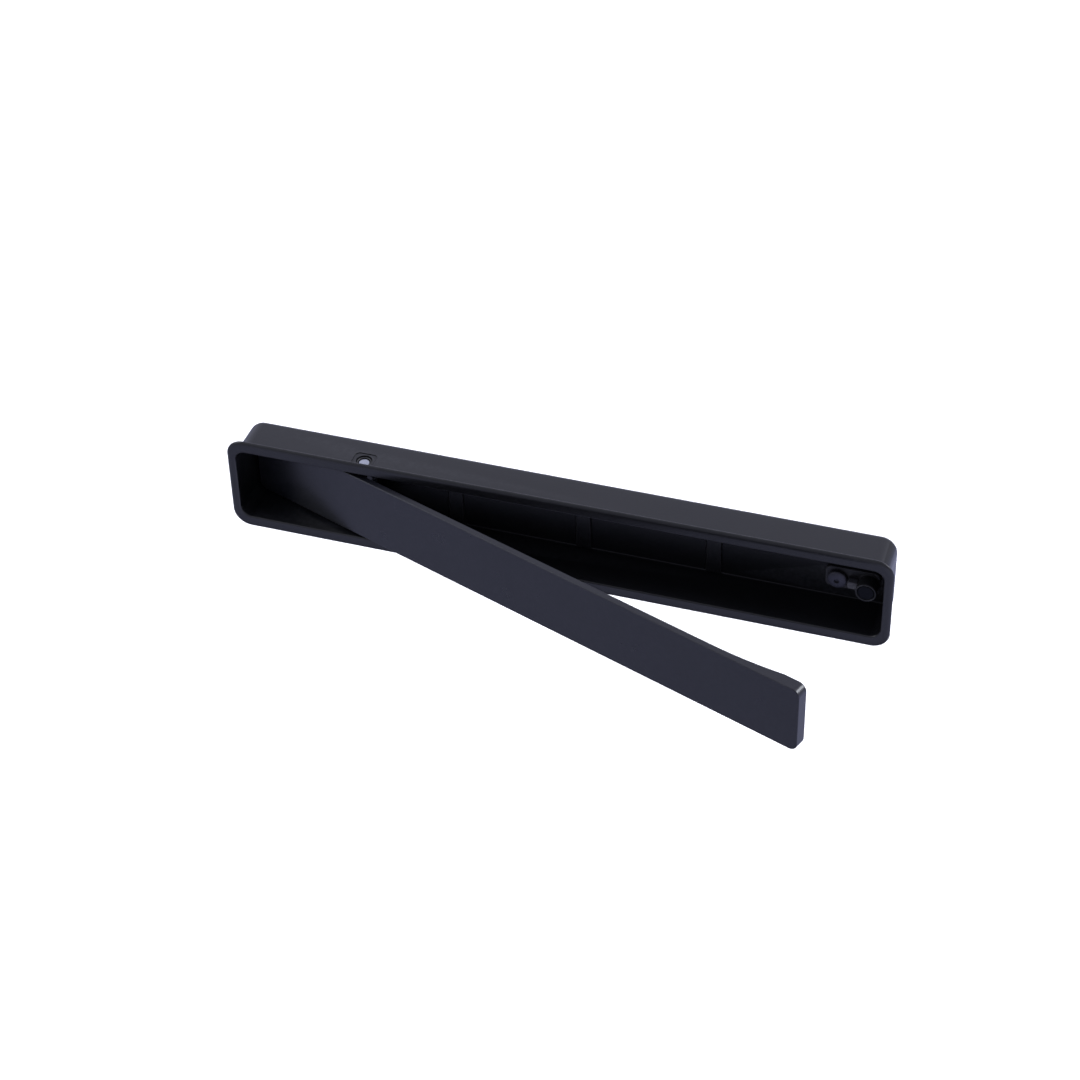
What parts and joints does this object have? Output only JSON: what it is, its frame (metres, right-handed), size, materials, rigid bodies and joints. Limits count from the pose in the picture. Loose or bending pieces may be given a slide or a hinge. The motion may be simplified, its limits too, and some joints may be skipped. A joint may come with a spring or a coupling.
{
  "type": "flush flip pull handle",
  "caption": "Flush-fitting flip pull handle: a flanged tray let into a door or drawer front, with a flat lever that pivots near one end and swings out when its short arm is pressed in.",
  "frame": {"origin": "middle of the tray's rear face, which faces into the door", "axes": "+X along the handle towards the lever's free tip, +Y into the door, +Z across the handle, upwards when it is fitted level as on a drawer"},
  "size_m": [0.1802, 0.0611, 0.0284],
  "materials": {
    "black_paint": "satin black stove enamel on die-cast zinc",
    "lever_paint": "satin black stove enamel on die-cast zinc, slightly smoother",
    "pin_steel": "ground steel",
    "nylon": "matt black nylon",
    "bracket_plastic": "fine matt black moulding",
    "magnet_nickel": "black nickel plate",
    "screw_black": "black oxide steel",
    "strike_steel": "plain steel"
  },
  "bodies": {
    "housing": {"housing": "black_paint", "upper_bush": "nylon", "lower_bush": "nylon", "magnet_bracket": "bracket_plastic", "catch_magnet": "magnet_nickel", "bracket_screw": "screw_black"},
    "lever": {"flip_lever": "lever_paint", "pivot_pin": "pin_steel", "strike_disc": "strike_steel"}
  },
  "joints": [
    {"name": "lever_pivot", "type": "hinge", "parent": "housing", "child": "lever", "pos_m": [-0.0528, -0.009, 0], "axis": [0, 0, 1], "range_deg": [0, 19.72]}
  ]
}
